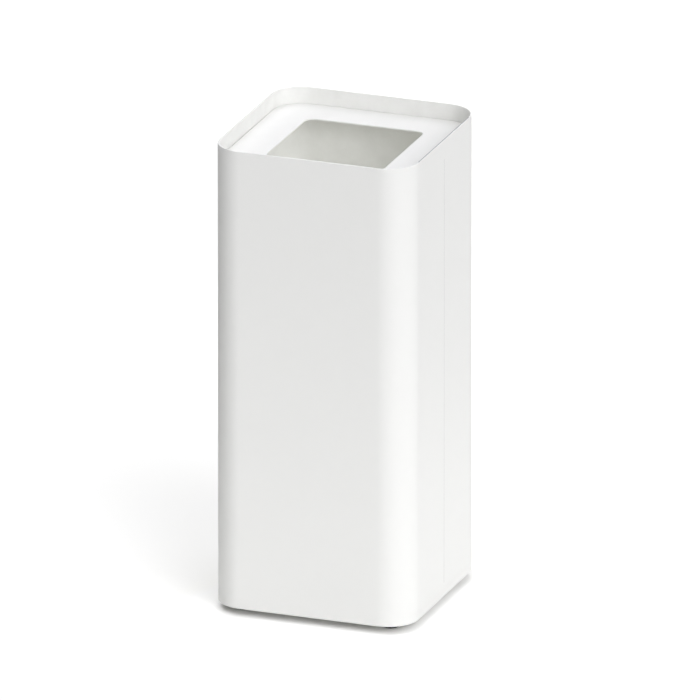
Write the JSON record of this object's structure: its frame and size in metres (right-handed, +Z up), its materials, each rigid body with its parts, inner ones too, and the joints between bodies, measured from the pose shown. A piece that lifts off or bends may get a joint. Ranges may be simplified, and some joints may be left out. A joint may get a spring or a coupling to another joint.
{
  "type": "umbrella stand",
  "caption": "Tall square column of white powder-coated sheet steel that holds umbrellas upright, with a recessed lift-out cover, a lift-out drip tray and levelling feet.",
  "frame": {"origin": "on the floor under the middle of the stand", "axes": "+Z up; -Y is the front; +X is the wall with the closing seam"},
  "size_m": [0.26, 0.26, 0.604],
  "materials": {
    "white_powder_coat": "satin powder coat with a fine orange peel",
    "zinc_steel": "zinc plated, dull",
    "foot_plastic": "moulded, fine grain",
    "buffer_rubber": "matt",
    "tray_plastic": "moulded, fine grain"
  },
  "bodies": {
    "root": {"outer_shell": "white_powder_coat", "seam_strap": "white_powder_coat", "base_pan": "white_powder_coat", "cover_ledge_right": "white_powder_coat", "cover_ledge_back": "white_powder_coat", "cover_ledge_left": "white_powder_coat", "cover_ledge_front": "white_powder_coat", "ledge_buffer_right": "buffer_rubber", "ledge_buffer_back": "buffer_rubber", "ledge_buffer_left": "buffer_rubber", "ledge_buffer_front": "buffer_rubber", "weld_nut_front_left": "zinc_steel", "weld_nut_front_right": "zinc_steel", "weld_nut_back_left": "zinc_steel", "weld_nut_back_right": "zinc_steel"},
    "cover": {"cover_plate": "white_powder_coat"},
    "tray": {"drip_tray": "tray_plastic"},
    "foot_front_left": {"foot_pad_front_left": "foot_plastic", "foot_stud_front_left": "zinc_steel"},
    "foot_front_right": {"foot_pad_front_right": "foot_plastic", "foot_stud_front_right": "zinc_steel"},
    "foot_back_left": {"foot_pad_back_left": "foot_plastic", "foot_stud_back_left": "zinc_steel"},
    "foot_back_right": {"foot_pad_back_right": "foot_plastic", "foot_stud_back_right": "zinc_steel"}
  },
  "joints": [
    {"name": "cover_lift", "type": "slide", "parent": "root", "child": "cover", "axis": [0, 0, 1], "range_m": [0, 0.66]},
    {"name": "tray_lift", "type": "slide", "parent": "root", "child": "tray", "axis": [0, 0, 1], "range_m": [0, 0.595]},
    {"name": "foot_drop_front_left", "type": "slide", "parent": "root", "child": "foot_front_left", "axis": [0, 0, -1], "range_m": [0, 0.006]},
    {"name": "foot_drop_front_right", "type": "slide", "parent": "root", "child": "foot_front_right", "axis": [0, 0, -1], "range_m": [0, 0.006]},
    {"name": "foot_drop_back_left", "type": "slide", "parent": "root", "child": "foot_back_left", "axis": [0, 0, -1], "range_m": [0, 0.006]},
    {"name": "foot_drop_back_right", "type": "slide", "parent": "root", "child": "foot_back_right", "axis": [0, 0, -1], "range_m": [0, 0.006]}
  ],
  "couplings": [
    {"joint": "tray_lift", "follows": "cover_lift", "ratio": 0.9}
  ]
}
